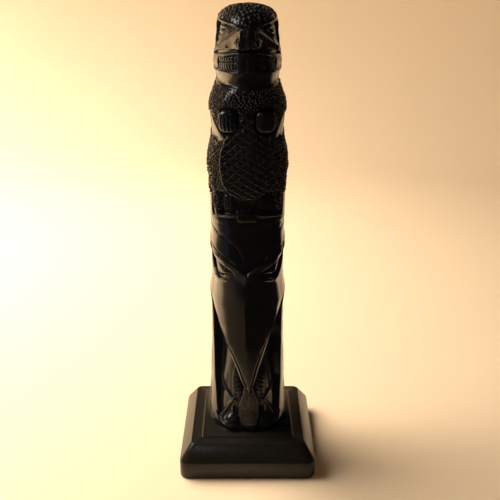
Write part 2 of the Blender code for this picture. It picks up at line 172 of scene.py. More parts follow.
class Carving:
    """How far the surface stands out, over a grid of girth positions and heights."""

    def __init__(self, girth, height, points, normal):
        lean = read_off(LEAN, height) * (np.abs(girth) < LEAN_REACH)
        self.signed = girth - lean
        self.side = np.abs(self.signed)
        self.height = height
        self.place = np.stack([np.abs(points[:, :, 0] - lean), points[:, :, 1], points[:, :, 2]], axis=2)
        self.facing = np.stack([np.abs(normal[:, :, 0]), normal[:, :, 1], normal[:, :, 2]], axis=2)
        self.level = np.zeros_like(girth)
        self.coat = {name: np.zeros_like(girth) for name in COATS}

    def grow(self, name, share):
        """Lets one coat of fur grow where the share is high."""
        self.coat[name] = np.maximum(self.coat[name], share)

    def to_plane(self, through, towards):
        """The level that brings the surface to a plane through a place and facing towards a direction."""
        towards = np.array(towards) / np.linalg.norm(towards)
        lacking = (np.array(through) - self.place) @ towards
        return lacking / np.maximum(self.facing @ towards, 0.35)

    def along(self, path):
        """Distance to a path, and how far along it the nearest place is."""
        ends = np.array(path, float)
        lengths = np.hypot(*np.diff(ends, axis=0).T)
        total = lengths.sum()
        nearest = np.full(self.side.shape, 1e9)
        place = np.zeros(self.side.shape)
        start = 0.0
        for first, last, length in zip(ends[:-1], ends[1:], lengths):
            run = (last - first) / length
            offset = (self.side - first[0]) * run[0] + (self.height - first[1]) * run[1]
            offset = np.clip(offset, 0.0, length)
            across = self.side - first[0] - offset * run[0]
            away = np.hypot(across, self.height - first[1] - offset * run[1])
            closer = away < nearest
            nearest = np.where(closer, away, nearest)
            place = np.where(closer, (start + offset) / total, place)
            start += length
        return nearest, place

    def inside(self, outline):
        """Distance in from a closed outline, negative outside it.

        An outline that starts and ends on the centre line goes on over its other side.
        """
        outline = list(outline)
        if outline[0][0] == 0 and outline[-1][0] == 0:
            outline += [(-side, height) for side, height in reversed(outline) if side > 0]
        away, _ = self.along(outline + [outline[0]])
        crossed = np.zeros(self.side.shape, bool)
        for (x0, y0), (x1, y1) in zip(outline, outline[1:] + [outline[0]]):
            if y0 == y1:
                continue
            between = (self.height > min(y0, y1)) & (self.height <= max(y0, y1))
            crossed ^= between & (self.side < x0 + (self.height - y0) * (x1 - x0) / (y1 - y0))
        return np.where(crossed, away, -away)

    def ridge(self, path, width, height):
        """A rounded bead. Width and height may each be a pair that runs from start to end."""
        away, place = self.along(path)
        width = np.interp(place, (0, 1), width) if isinstance(width, tuple) else width
        height = np.interp(place, (0, 1), height) if isinstance(height, tuple) else height
        share = np.clip(1.0 - (away / width) ** 2, 0.0, 1.0)
        self.level += height * share ** 1.5

    def groove(self, path, width, depth):
        """A V cut along a path."""
        away, _ = self.along(path)
        self.level -= depth * np.clip(1.0 - away / width, 0.0, 1.0)

    def plateau(self, outline, level, soft=0.5):
        """Brings a field to a level, or to a level given over the whole grid."""
        mask = eased(self.inside(outline), -soft, soft)
        self.level = self.level * (1.0 - mask) + level * mask

    def oval(self, centre, radii, power=2.0):
        """1 at an oval's centre and 0 at its edge."""
        away = np.abs((self.side - centre[0]) / radii[0]) ** power
        away += np.abs((self.height - centre[1]) / radii[1]) ** power
        return np.clip(1.0 - away, 0.0, 1.0)

    def mound(self, centre, radii, height, power=2.0):
        """A swelling over an oval."""
        self.level += height * self.oval(centre, radii, power) ** 0.75


# %% [markdown]
# ## The beaver's head
#
# From the top down: a V brow over hollow eye sockets, pointed eyes that wrap to the sides,
# two flat cheek planes that run back from the bridge of the nose, curled nostrils, and the
# mouth with its lips, two rows of small teeth and the big front pair.


# %% Carve the beaver's head
TEETH = 7
FIRST_TOOTH = 5.2
TOOTH_PITCH = 1.75


def carve_beaver_head(c):
    brow = [(0, 190.5), (3.8, 191.0), (8, 192.2), (13, 193.0), (23, 193.6), (34, 194.0)]
    cheek = c.to_plane((2.8, -17.2, 186), (0.87, -0.49, 0.07))
    cheek = np.minimum(cheek, np.interp(c.side, (17, 23, 27), (3.0, 0.1, -0.3)))
    cheek_top = [(2.2, 190.4), (7.1, 188.7), (12.6, 186.5), (19.3, 184.3), (26, 182.8), (32, 182.0)]
    socket = [(2.6, 190.3), (8, 191.6), (13, 192.4), (23, 193.0), (33, 193.4), (34, 184)]
    socket += [(26, 182.8), (19.3, 184.3), (12.6, 186.5), (7.1, 188.7)]
    c.level += 0.5 * eased(c.height, 194.2, 191.2)
    floor = read_off(cheek_top, c.side)
    ceiling = read_off(brow, c.side)
    share = np.clip((c.height - floor) / np.maximum(ceiling - floor, 1.0), 0, 1)
    hollow = np.minimum(cheek, np.interp(c.side, (18, 24), (0.6, 0.0))) - 0.3 - 2.1 * share
    c.plateau(socket, hollow, 0.2)
    c.ridge(brow, 0.8, 0.5)
    eye = [(12.6, 189.9), (18.5, 191.2), (24.5, 191.2), (29, 189.6), (26.5, 187.6), (21.4, 186.5)]
    depth = c.inside(eye)
    c.level += 0.8 * np.clip(1.0 - ((depth - 0.2) / 0.45) ** 2, 0, 1)
    c.level += 1.2 * eased(depth, 0.9, 2.2)

    cheek_foot = [(32, 181.0), (19, 182.1), (12.2, 183.0), (0, 183.2), (0, 190.8)]
    c.plateau(cheek_top + cheek_foot, cheek, 0.16)
    bridge = c.to_plane((0, -17.6, 186), (0, -1, 0.09)) - 0.05 * c.side ** 2
    nose = [(0, 190.8), (1.6, 190.6), (2.8, 189.5), (2.8, 184.6), (2.2, 183.2), (0, 183.0)]
    c.plateau(nose, bridge, 0.2)
    c.mound((3.8, 185.0), (2.4, 2.2), 1.2)
    nostril = [(4.6, 185.7), (3.3, 186.4), (2.2, 185.6), (2.3, 184.3), (3.5, 183.7), (4.9, 183.5)]
    c.groove(nostril, 0.35, 0.6)

    under_cheek = [(0, 183.1), (12, 182.9), (19, 182.0), (26, 181.0)]
    under_cheek += [(26, 180.2), (17, 180.7), (8, 181.8), (0, 182.2)]
    c.plateau(under_cheek, -0.9, 0.2)
    lips = [(3.5, 181.6), (9.5, 180.9), (18.3, 179.6), (25, 177.8), (30, 175.9)]
    lips += [(25, 174.7), (17.5, 174.5), (9.5, 174.5), (3.3, 174.7)]
    mouth = [(0, 181.8)] + lips + [(0, 174.8)]
    depth = c.inside(mouth)
    c.plateau(mouth, 0.0, 0.2)
    c.level += 0.4 * np.clip(1.0 - ((depth - 0.1) / 0.4) ** 2, 0, 1)
    c.level -= 1.0 * eased(depth, 0.35, 0.7) * (1.0 - eased(c.side, 17.4, 18.2))
    for tooth in range(TEETH):
        girth = FIRST_TOOTH + TOOTH_PITCH * tooth
        upper = c.oval((girth, 179.55 - 0.13 * tooth), (0.84, 1.0), 4.0)
        lower = c.oval((girth, 176.7 - 0.08 * tooth), (0.84, 1.5), 4.0)
        c.level += np.maximum(upper, lower) ** 0.4
    c.plateau([(0, 181.9), (3.9, 181.7), (4.0, 178), (3.5, 174.5), (0, 174.4)], 1.1, 0.2)
    c.groove([(0, 182), (0, 174.2)], 0.45, 0.4)

    jaw = [(0, 174.6), (9.5, 174.4), (25, 174.6), (32, 175.4)]
    jaw += [(32, 170.2), (20, 169.4), (10, 168.9), (0, 168.6)]
    cove = np.clip((c.height - 169.4) / 5.0, 0, 1.1) ** 2
    c.plateau(jaw, 1.35 * cove - 0.35 + 0.3 * eased(c.side, 9, 3), 0.25)
    c.groove([(0, 168.5), (10, 168.8), (20, 169.2), (36, 170.0)], 1.1, 0.5)
    c.mound((36.0, 188.2), (3.6, 4.2), 1.6)
    c.mound((36.0, 187.8), (2.1, 2.5), -1.6)

    # Fur on the crown, above the brow
    c.grow("crown_fur", eased(c.height - ceiling, 0.7, 1.1))


# %% [markdown]
# ## The beaver's body
#
# The tail stands up in front of the belly as a swelling oval, cut by two sets of slanting
# grooves. Fists with finger grooves hold its top, forearms come round from the elbows, and
# the feet sit inside the rim of the bird's head. Fur covers the chest, shoulders and thighs.


# %% Carve the beaver's body
CLAWS = 5
FINGERS = 5
HATCH_DEPTH = 0.34
HATCH_WIDTH = 0.36
HATCH_FALL = 32
HATCH_RISE = 43


def carve_beaver_body(c):
    c.mound((26, 161), (11, 9), 0.5)
    c.mound((0, 162), (15, 7), 0.7)
    tail = [(0, 157.8), (3.6, 157.3), (6.3, 153.2), (9.8, 148.2), (10.9, 143.4)]
    tail += [(11.0, 137), (10.4, 130.4), (7.6, 126), (4, 124), (0, 123.2)]
    c.mound((25, 137.5), (11, 11), 0.7)
    c.ridge([(21, 136), (19, 127), (16, 119)], 5.0, 0.9)
    recess = [(0, 128), (16, 127), (20.2, 128), (20.5, 118), (19.4, 115.4), (0, 116.6)]
    c.plateau(recess, -1.6, 0.3)
    away, _ = c.along([(18.6, 134), (17.4, 126), (15.8, 118.0)])
    c.level = np.maximum(c.level, 0.7 - 2.3 * (away / 4.2) ** 2)
    depth = c.inside(tail)
    flat = c.to_plane((0, -17.3, 142), (0, -1, 0)) - 0.012 * c.side ** 2
    flat -= 0.022 * np.clip(133 - c.height, 0, None) ** 2
    c.plateau(tail, np.minimum(flat, 3.6) - 0.9 * eased(depth, 0.9, 0.0), 0.2)
    down = math.radians(HATCH_FALL)
    up = math.radians(HATCH_RISE)
    falling = c.signed * math.sin(down) + c.height * math.cos(down)
    rising = c.signed * math.sin(up) - c.height * math.cos(up)
    for across, pitch, share in ((falling, 2.5, 1.0), (rising, 2.7, 1.7)):
        from_cut = pitch / 2 - np.abs((across / pitch) % 1.0 - 0.5) * pitch
        cut = share * HATCH_DEPTH * np.clip(1.0 - from_cut / HATCH_WIDTH, 0, 1)
        c.level -= cut * eased(depth, 0.3, 0.6)

    c.mound((9.2, 121.8), (4.6, 3.6), 0.8, 2.6)
    for claw in range(CLAWS):
        girth = 5.8 + 1.8 * claw
        c.groove([(girth, 123.4), (girth + 0.2, 119.0)], 0.4, 0.3)
    rim = [(0, 118.0), (3.8, 117.9), (8, 117.6), (13, 117.0), (17.4, 116.2), (18.4, 116.8)]
    rim += [(18.8, 118.5), (18.9, 124.6), (24, 126.4), (44, 127), (44, 112), (0, 112)]
    c.plateau(rim, 0.35, 0.15)
    bead = 0.6 * np.clip(1.0 - ((c.inside(rim) - 0.35) / 0.4) ** 2, 0, 1)
    c.level += bead * (c.side < 20.2) * (c.height > 114)
    c.groove([(4.4, 116.0), (14.3, 115.9), (22, 115.2), (44, 115.0)], 0.3, 0.35)
    c.plateau([(0, 117.9), (3.7, 117.9), (3.9, 115.6), (3.3, 115.0), (0, 115.0)], 0.8, 0.4)

    arm = [(42, 158.6), (28, 158.4), (22, 158.0), (18.5, 156.6), (16, 154.2), (13.5, 151.8)]
    arm += [(10.5, 150.2), (9.4, 149.2), (12, 147.8), (16, 147.4), (20, 148.0), (26, 149.0)]
    arm.append((42, 150.6))
    fall = read_off(((12, 0.2), (20, 0.15), (26, 0.07)), c.side) * np.clip(157.5 - c.height, 0, None)
    proud = read_off(((9, 3.0), (12, 2.4), (16, 1.6), (20, 1.0), (28, 0.7)), c.side)
    c.plateau(arm, proud - fall, 0.25)
    c.level -= 1.2 * eased(c.oval((8.3, 155.8), (5.6, 5.6), 2.6), 0.0, 0.25)
    paw = c.oval((8.2, 155.8), (4.7, 4.6), 2.8)
    c.level = np.maximum(c.level, np.where(paw > 0, 0.6 + 2.3 * paw ** 0.45, -9))
    for finger in range(FINGERS):
        girth = 5.0 + 1.6 * finger
        c.groove([(girth, 157.6), (girth, 150.8)], 0.34, 0.35)
    for notch in range(3):
        girth = 22 + 3.6 * notch
        c.groove([(girth, 157.0 - notch), (girth + 1.6, 153.4 - notch)], 0.5, 0.5)

    # Fur everywhere but on the smooth arms, paws, tail, feet and collar
    collar = ((0, 167.4), (8, 167.7), (16, 168.1), (24, 168.6), (40, 169.4))
    fur = eased(read_off(collar, c.side) - c.height, -0.6, 0.2) * eased(c.height, 118.4, 119.4)
    fur *= 1.0 - eased(c.oval((6.0, 121.0), (7.7, 5.6), 2.6), 0.0, 0.05)
    fur *= 1.0 - (c.side < 6) * (c.height < 124)
    fur *= 1.0 - eased(c.inside(arm), -0.5, -0.1)
    fur *= 1.0 - eased(c.oval((8.3, 155.8), (5.7, 5.7), 2.6), 0.0, 0.05)
    fur *= 1.0 - eased(depth, -1.2, -0.8)
    fur *= 1.0 - eased(c.side, 36, 40)
    c.grow("body_fur", fur * (1.0 - eased(c.inside(rim), -0.6, -0.2)))


# %% [markdown]
# ## The bird
#
# Its smooth forehead rises under the beaver's feet, with two grooves a side that sweep to
# the middle. Brow bands run down into the root of the beak, over half round eyes. The beak
# is two long planes that meet in a crisp ridge. Beside and below it the breast is cut deep,
# with the legs, round feet and the tail between them, and the wings are folded at the sides.


# %% Carve the bird
FEATHERS = 4
BARBS = 5


def carve_bird_head(c):
    spread = np.clip(1.0 - c.side / 21.0, 0.0, 1.0)
    swell = np.interp(c.height, (86, 93, 100, 108, 113), (5.2, 4.2, 2.6, 1.1, 0.4))
    high = eased(c.height, 92, 102)
    swell *= eased(c.height, 80, 86)
    c.level += swell * (spread ** 1.1 * (1 - high) + np.clip(1 - (c.side / 24) ** 2, 0, 1) * high)
    high_sweep = [(34, 112.4), (20, 110.6), (14.0, 109.2), (9.7, 107.6)]
    high_sweep += [(5.9, 105.1), (3.4, 102.6), (1.8, 98.4)]
    low_sweep = [(34, 105.6), (24, 104.2), (14.3, 101.8), (10.9, 100.2), (7.1, 98.5), (3.0, 96.9)]
    c.groove(high_sweep, 0.42, 0.4)
    c.groove(low_sweep, 0.42, 0.4)

    crest = np.interp(c.height, (35, 40, 60, 84, 92, 98), (3.4, 4.4, 6.2, 6.4, 5.9, 4.6))
    edge = [(41, 84.0), (30, 79.2), (20, 74.4), (13.6, 70.3), (8.2, 63.2), (5.6, 57.2)]
    edge += [(4.2, 53.2), (2.7, 48.2), (1.6, 43.3), (0.7, 39.5), (0, 34.8)]
    brow = [(0, 92.8), (0.8, 93.6), (3.3, 95.4), (5.5, 96.6), (8.5, 98.0)]
    brow += [(13, 99.4), (19.3, 100.8), (26, 102.4), (34, 103.4), (42, 104)]
    lower = [(0, 33.2), (1.7, 39.0), (2.8, 43.0), (4.0, 47.6), (5.6, 52.4), (7.0, 56.4), (9.6, 62.2)]
    lower += [(14.6, 68.6), (20.6, 72.6), (30, 77.4), (41, 82), (34, 84), (0, 64)]
    beak = crest * spread ** 1.5
    c.plateau(lower, beak - 1.2 + 0.9 * np.clip(c.inside(lower) / 1.3, 0, 1), 0.15)
    below = read_off(brow, c.side) - c.height
    band = 1.1 - 1.1 * np.clip(below / 4.2, 0, 1)
    band *= 1.0 - 0.7 * eased(c.side, 20, 28)
    c.plateau(brow + edge, beak + band, 0.16)
    c.groove(edge[:-1], 0.4, 1.0)

    eye = [(25, 100.0), (15, 97.2), (9.5, 95.8), (5.6, 94.2), (4.4, 92.6)]
    eye += [(7.5, 90.4), (12, 88.9), (16.5, 89.2), (20.5, 91.2), (24, 95.2)]
    depth = c.inside(eye)
    c.level -= 1.7 * eased(depth, -0.15, 0.35)
    c.level += 0.9 * eased(depth, 0.8, 3.0) * (1.0 - eased(c.side, 20, 25))
    lid = [(25.6, 98.6), (24.8, 94.6), (21.0, 90.4), (16.7, 88.4), (12, 88.1), (7.2, 89.7)]
    c.ridge(lid, 0.5, 0.3)


def carve_bird_body(c):
    breast = [(0, 70), (24, 74), (23, 66), (22.5, 56), (20.8, 49.3)]
    breast += [(19.8, 37.2), (17, 25.7), (14.5, 20.4), (0, 17)]
    hollow = ((16, -0.6), (22, -2.0), (34, -2.8), (48, -4.2), (60, -4.6))
    c.plateau(breast, read_off(hollow, c.height), 0.4)
    leg = c.oval((6.2, 38.4), (3.2, 8.4), 2.4)
    c.level += 1.3 * leg ** 0.35
    c.level -= 0.3 * np.clip(1.0 - np.abs(leg - 0.45) / 0.2, 0, 1)
    c.ridge([(18.4, 38.4), (14.7, 34.0), (9.2, 30.4)], 1.1, 0.6)
    c.ridge([(8.0, 29.4), (11.3, 24.4), (13.6, 21.0)], 1.3, 0.6)
    c.ridge([(7.8, 29.4), (7.8, 26.4), (7.4, 23.0)], 1.0, 0.5)
    for barb in range(BARBS):
        c.groove([(3.4, 42.5 - 2.2 * barb), (9.0, 40.0 - 2.2 * barb)], 0.5, 0.08)
    c.mound((8.0, 19.6), (4.2, 3.5), 2.2)
    tail = [(0, 42), (1.6, 39.5), (2.7, 34), (4.2, 29), (4.2, 22.6), (3.2, 18.6), (1.6, 17.2), (0, 17.0)]
    c.plateau(tail, -0.4 + 0.9 * np.clip(1.0 - (c.side / 4.2) ** 2, 0, 1), 0.3)
    c.grow("down", eased(c.inside(tail), 0.1, 0.4) * (c.height < 36))

    outer_ring = c.oval((31, 42.0), (5.2, 8.0), 2.4)
    inner_ring = c.oval((31, 42.5), (2.6, 4.2))
    c.level -= 0.8 * np.clip(1.0 - np.abs(outer_ring - 0.28) / 0.2, 0, 1)
    c.level -= 0.7 * np.clip(1.0 - np.abs(inner_ring - 0.3) / 0.3, 0, 1)
    rim = [(0, 16.4), (0, 17.4), (8, 17.6), (13.5, 19.0), (16.4, 22), (18, 20), (16, 16.4)]
    c.plateau(rim, 0.4, 0.25)
    for feather in range(FEATHERS):
        girth = 26.0 + 3.4 * feather
        c.groove([(girth, 32.6 - abs(girth - 31) * 0.3), (girth + 0.5, 19.5)], 0.6, 0.6)
    c.groove([(27, 66), (34, 71), (41, 72)], 0.7, 0.6)
    c.groove([(26, 58), (34, 64), (41, 65)], 0.7, 0.6)


# %% [markdown]
# ## The column
#
# The base surface is the uncarved column: a D section whose width follows the outline at
# each height, and a flattened dome on top. The grid is fine over the front and coarser on
# the plain back, so detail is spent where there is carving.


# %% Build the base surface
def section_curve():
    """Half of the D section from the front to the back: girth, share of half width, share of depth."""
    turn = np.linspace(0.0, math.pi / 2, 1500)
    front = (np.sin(turn) ** (2 / FRONT_POWER), np.cos(turn) ** (2 / FRONT_POWER))
    back = (np.cos(turn) ** (2 / BACK_POWER), -np.sin(turn) ** (2 / BACK_POWER))
    across = np.concatenate([front[0], back[0][1:]])
    deep = np.concatenate([front[1], back[1][1:]])
    x = 0.5 * BODY_WIDTH * across
    y = np.where(deep > 0, deep * (BODY_DEPTH - WIDEST_FROM_BACK), deep * WIDEST_FROM_BACK)
    girth = np.concatenate([[0.0], np.cumsum(np.hypot(np.diff(x), np.diff(y)))])
    return girth, across, deep


def base_surface():
    """Girth and height of each grid place, and its position, in the carving's units."""
    table = section_curve()
    last = table[0][-1]
    near = np.arange(0.0, FINE_REACH, GIRTH_STEP)
    far = np.linspace(FINE_REACH, last, max(4, round((last - FINE_REACH) / BACK_STEP) + 1))
    half = np.concatenate([near, far])
    girth = np.concatenate([-half[1:-1][::-1], half])
    rows = np.arange(SCALE_FOOT, DOME_START, HEIGHT_STEP)
    rise = np.linspace(0.0, math.radians(88.5), DOME_STEPS)
    dome_height = DOME_START + (SCALE_TOP - DOME_START) * np.sin(rise) ** (2 / DOME_POWER)
    height = np.concatenate([rows, dome_height])
    shrink = np.concatenate([np.ones(len(rows)), np.cos(rise) ** (2 / DOME_POWER)])

    fine = np.linspace(SCALE_FOOT, SCALE_TOP, 1200)
    smooth = read_off(OUTLINE, fine)
    padded = np.concatenate([np.full(8, smooth[0]), smooth, np.full(8, smooth[-1])])
    smooth = np.convolve(padded, np.ones(17) / 17, mode="valid")
    half_width = 0.5 * BODY_WIDTH * np.interp(height, fine, smooth) * shrink
    back = 0.5 * BODY_DEPTH
    widest = back - WIDEST_FROM_BACK
    front = back * read_off(FRONT_DEPTH, height)
    across = np.interp(np.abs(girth), table[0], table[1]) * np.sign(girth)
    deep = np.interp(np.abs(girth), table[0], table[2])
    x = half_width[:, None] * across[None, :]
    power = read_off(SECTION, height)[:, None]
    round_front = (1.0 - np.abs(across[None, :]) ** power) ** (1.0 / power) * (deep > 0)[None, :]
    forward = (front + widest)[:, None] * shrink[:, None] * round_front
    behind = WIDEST_FROM_BACK * shrink[:, None] * np.clip(-deep, 0, None)[None, :]
    y = widest * shrink[:, None] - forward + behind
    z = np.repeat(height[:, None], len(girth), axis=1)
    grid_girth = np.repeat(girth[None, :], len(height), axis=0)
    return grid_girth, z, np.stack([x, y, z], axis=2)


def outward(points):
    """Unit normals of the closed grid."""
    around = np.roll(points, -1, axis=1) - np.roll(points, 1, axis=1)
    upward = np.gradient(points, axis=0)
    normal = np.cross(around, upward)
    return normal / np.maximum(np.linalg.norm(normal, axis=2, keepdims=True), 1e-12)


def carved_grid():
    """Places of the carved surface in the carving's units, and the share of each coat on it."""
    girth, height, points = base_surface()
    normal = outward(points)
    lower = Carving(girth, height, points, normal)
    carve_bird_body(lower)
    carve_bird_head(lower)
    upper = Carving(girth, height, points, normal)
    carve_beaver_head(upper)
    carve_beaver_body(upper)
    above = height > BEAVER_FOOT
    level = np.where(above, upper.level, lower.level)
    coats = {name: np.where(above, upper.coat[name], lower.coat[name]) for name in COATS}
    level *= eased(height, SCALE_FOOT + 0.2, SCALE_FOOT + 2.5)
    level *= 1.0 - eased(np.abs(girth), *BACK_FADE)
    beside = eased(np.abs(girth), *SIDE_FADE)
    level = level * np.where(level > 0, 1.0 - 0.65 * beside, 1.0 - 0.4 * beside * (height > 171))
    normal[:, :, 2] *= eased(height, DOME_START - 2, DOME_START + 4)
    return points + normal * level[:, :, None], coats


points, coats = carved_grid()
print("grid of", points.shape[0], "by", points.shape[1], "places")


# %% [markdown]
# The grid becomes a closed mesh, one quad between each four neighbours and a cap at each
# end. It is far finer on the flat places than it needs to be, so Decimate thins it where
# the surface is even and keeps the crisp edges.


# %% Make the carved mesh
def grid_mesh(name, places):
    """A closed mesh from rings of places, with a flat cap at the foot and at the crown."""
    rows, count = places.shape[:2]
    index = np.arange(rows * count).reshape(rows, count)
    after = np.roll(index, -1, axis=1)
    quads = np.stack([index[:-1], after[:-1], after[1:], index[1:]], axis=2).reshape(-1, 4)
    mesh = bpy.data.meshes.new(name)
    corners = np.concatenate([quads.ravel(), index[0][::-1], index[-1]])
    starts = np.concatenate([np.arange(len(quads)) * 4, [len(quads) * 4, len(quads) * 4 + count]])
    mesh.vertices.add(rows * count)
    mesh.vertices.foreach_set("co", places.reshape(-1).astype(np.float32))
    mesh.loops.add(len(corners))
    mesh.loops.foreach_set("vertex_index", corners.astype(np.int32))
    mesh.polygons.add(len(starts))
    mesh.polygons.foreach_set("loop_start", starts.astype(np.int32))
    mesh.update(calc_edges=True)
    mesh.validate()
    return mesh


def applied(shown):
    """Works the modifiers into the object's mesh and takes them away."""
    depsgraph = bpy.context.evaluated_depsgraph_get()
    mesh = bpy.data.meshes.new_from_object(shown.evaluated_get(depsgraph))
    shown.modifiers.clear()
    old = shown.data
    shown.data = mesh
    bpy.data.meshes.remove(old)


placed = points * UNIT
placed[:, :, 2] += POLE_FOOT - SCALE_FOOT * UNIT
ground = bpy.data.objects.new("fine_grid", grid_mesh("fine_grid", placed))
for name, share in coats.items():
    spread = ground.data.attributes.new(name, "FLOAT", "POINT")
    spread.data.foreach_set("value", share.reshape(-1).astype(np.float32))
carved = bpy.data.objects.new("carved_pole", ground.data.copy())
bpy.context.scene.collection.objects.link(carved)
thin = carved.modifiers.new("thin", "DECIMATE")
thin.ratio = CARVED_FACES / (2 * len(carved.data.polygons))
thin.use_collapse_triangulate = True
applied(carved)
carved.data.shade_smooth()
print("carved mesh:", len(carved.data.polygons), "faces")

# %% [markdown]
# ## Shared shading effects
#
# Three small node groups give numbers that both materials use: a fine unevenness left by
# the mould, wear on raised edges, and a little dust on what faces up.


# %% Shading node groups
def value_group(name, inputs):
    """An empty shader group with float inputs and one float output."""
    tree = bpy.data.node_groups.new(name, "ShaderNodeTree")
    for label, value in inputs:
        socket = tree.interface.new_socket(label, in_out="INPUT", socket_type="NodeSocketFloat")
        socket.default_value = value
    tree.interface.new_socket("Value", in_out="OUTPUT", socket_type="NodeSocketFloat")
    start = tree.nodes.new("NodeGroupInput")
    end = tree.nodes.new("NodeGroupOutput")
    return tree, start, end


def object_noise(tree, detail):
    """Noise on the object's own coordinates."""
    coordinates = tree.nodes.new("ShaderNodeTexCoord")
    noise = tree.nodes.new("ShaderNodeTexNoise")
    noise.inputs["Detail"].default_value = detail
    tree.links.new(coordinates.outputs["Object"], noise.inputs["Vector"])
    return noise


def put_out_product(tree, first, second, end):
    product = tree.nodes.new("ShaderNodeMath")
    product.operation = "MULTIPLY"
    tree.links.new(first, product.inputs[0])
    tree.links.new(second, product.inputs[1])
    tree.links.new(product.outputs["Value"], end.inputs["Value"])


def make_unevenness():
    tree, start, end = value_group("mould_unevenness", (("Broad scale", 140.0), ("Fine scale", 1400.0)))
    parts = []
    for label, detail in (("Broad scale", 2.0), ("Fine scale", 3.0)):
        noise = object_noise(tree, detail)
        tree.links.new(start.outputs[label], noise.inputs["Scale"])
        parts.append(noise)
    mix = tree.nodes.new("ShaderNodeMix")
    mix.inputs["Factor"].default_value = 0.35
    tree.links.new(parts[0].outputs["Fac"], mix.inputs["A"])
    tree.links.new(parts[1].outputs["Fac"], mix.inputs["B"])
    tree.links.new(mix.outputs["Result"], end.inputs["Value"])
    return tree


def make_wear():
    tree, start, end = value_group("edge_wear", (("From", 0.53), ("To", 0.62)))
    geometry = tree.nodes.new("ShaderNodeNewGeometry")
    span = tree.nodes.new("ShaderNodeMapRange")
    tree.links.new(geometry.outputs["Pointiness"], span.inputs["Value"])
    tree.links.new(start.outputs["From"], span.inputs["From Min"])
    tree.links.new(start.outputs["To"], span.inputs["From Max"])
    noise = object_noise(tree, 2.0)
    noise.inputs["Scale"].default_value = 420.0
    put_out_product(tree, span.outputs["Result"], noise.outputs["Fac"], end)
    return tree


def make_dust():
    tree, start, end = value_group("settled_dust", (("From", 0.35), ("To", 1.0)))
    geometry = tree.nodes.new("ShaderNodeNewGeometry")
    parts = tree.nodes.new("ShaderNodeSeparateXYZ")
    tree.links.new(geometry.outputs["Normal"], parts.inputs["Vector"])
    span = tree.nodes.new("ShaderNodeMapRange")
    tree.links.new(parts.outputs["Z"], span.inputs["Value"])
    tree.links.new(start.outputs["From"], span.inputs["From Min"])
    tree.links.new(start.outputs["To"], span.inputs["From Max"])
    noise = object_noise(tree, 6.0)
    noise.inputs["Scale"].default_value = 900.0
    specks = tree.nodes.new("ShaderNodeMapRange")
    specks.inputs["From Min"].default_value = 0.56
    specks.inputs["From Max"].default_value = 1.0
    tree.links.new(noise.outputs["Fac"], specks.inputs["Value"])
    put_out_product(tree, span.outputs["Result"], specks.outputs["Result"], end)
    return tree


UNEVENNESS = make_unevenness()
WEAR = make_wear()
DUST = make_dust()
print("shading groups:", UNEVENNESS.name, WEAR.name, DUST.name)

# %% [markdown]
# ## Materials
#
# Cast resin is nearly black, so what shows is its shine. The base colour moves a little
# between a cold and a warm black, worn edges and dust are greyer and duller, and the
# unevenness moves the roughness and tilts the surface slightly. The shine is made weaker
# towards the outline, where the real resin is duller than a plain gloss would be.


# %% Resin materials
def group_value(tree, group):
    node = tree.nodes.new("ShaderNodeGroup")
    node.node_tree = group
    return node.outputs["Value"]


def colour_mix(tree, factor, first, second):
    """A colour that runs from first to second with the factor. Each is a colour or an output."""
    node = tree.nodes.new("ShaderNodeMix")
    node.data_type = "RGBA"
    tree.links.new(factor, node.inputs["Factor"])
    for socket, given in (("A", first), ("B", second)):
        places = [item for item in node.inputs if item.name == socket and item.type == "RGBA"]
        if isinstance(given, tuple):
            places[0].default_value = given
        else:
            tree.links.new(given, places[0])
    return [item for item in node.outputs if item.type == "RGBA"][0]


def spread_value(tree, value, low, high):
    node = tree.nodes.new("ShaderNodeMapRange")
    node.inputs["From Min"].default_value = 0.3
    node.inputs["From Max"].default_value = 0.7
    node.inputs["To Min"].default_value = low
    node.inputs["To Max"].default_value = high
    tree.links.new(value, node.inputs["Value"])
    return node.outputs["Result"]


DUST_COLOUR = (0.022, 0.02, 0.016, 1.0)
DUST_ROUGHNESS = 0.06
OUTLINE_SHINE = 0.1


def resin_look(name, cold, warm, worn, roughness, bump, shine):
    material = bpy.data.materials.new(name)
    material.use_nodes = True
    tree = material.node_tree
    shader = tree.nodes["Principled BSDF"]
    uneven = group_value(tree, UNEVENNESS)
    wear = group_value(tree, WEAR)
    dust = group_value(tree, DUST)
    colour = colour_mix(tree, uneven, cold, warm)
    colour = colour_mix(tree, wear, colour, worn)
    colour = colour_mix(tree, dust, colour, DUST_COLOUR)
    tree.links.new(colour, shader.inputs["Base Color"])
    rough = spread_value(tree, uneven, *roughness)
    duller = tree.nodes.new("ShaderNodeMath")
    duller.operation = "MULTIPLY_ADD"
    duller.inputs[1].default_value = DUST_ROUGHNESS
    tree.links.new(dust, duller.inputs[0])
    tree.links.new(rough, duller.inputs[2])
    tree.links.new(duller.outputs["Value"], shader.inputs["Roughness"])
    tilt = tree.nodes.new("ShaderNodeBump")
    tilt.inputs["Strength"].default_value = 1.0
    tilt.inputs["Distance"].default_value = bump
    tree.links.new(uneven, tilt.inputs["Height"])
    tree.links.new(tilt.outputs["Normal"], shader.inputs["Normal"])
    shader.inputs["IOR"].default_value = 1.55
    rim = tree.nodes.new("ShaderNodeLayerWeight")
    rim.inputs["Blend"].default_value = 0.5
    weaker = tree.nodes.new("ShaderNodeMapRange")
    weaker.inputs["From Min"].default_value = 0.6
    weaker.inputs["From Max"].default_value = 1.0
    weaker.inputs["To Min"].default_value = shine
    weaker.inputs["To Max"].default_value = OUTLINE_SHINE
    tree.links.new(rim.outputs["Facing"], weaker.inputs["Value"])
    shader.inputs["Specular IOR Level"].default_value = shine
    tree.links.new(weaker.outputs["Result"], shader.inputs["Specular IOR Level"])
    return material


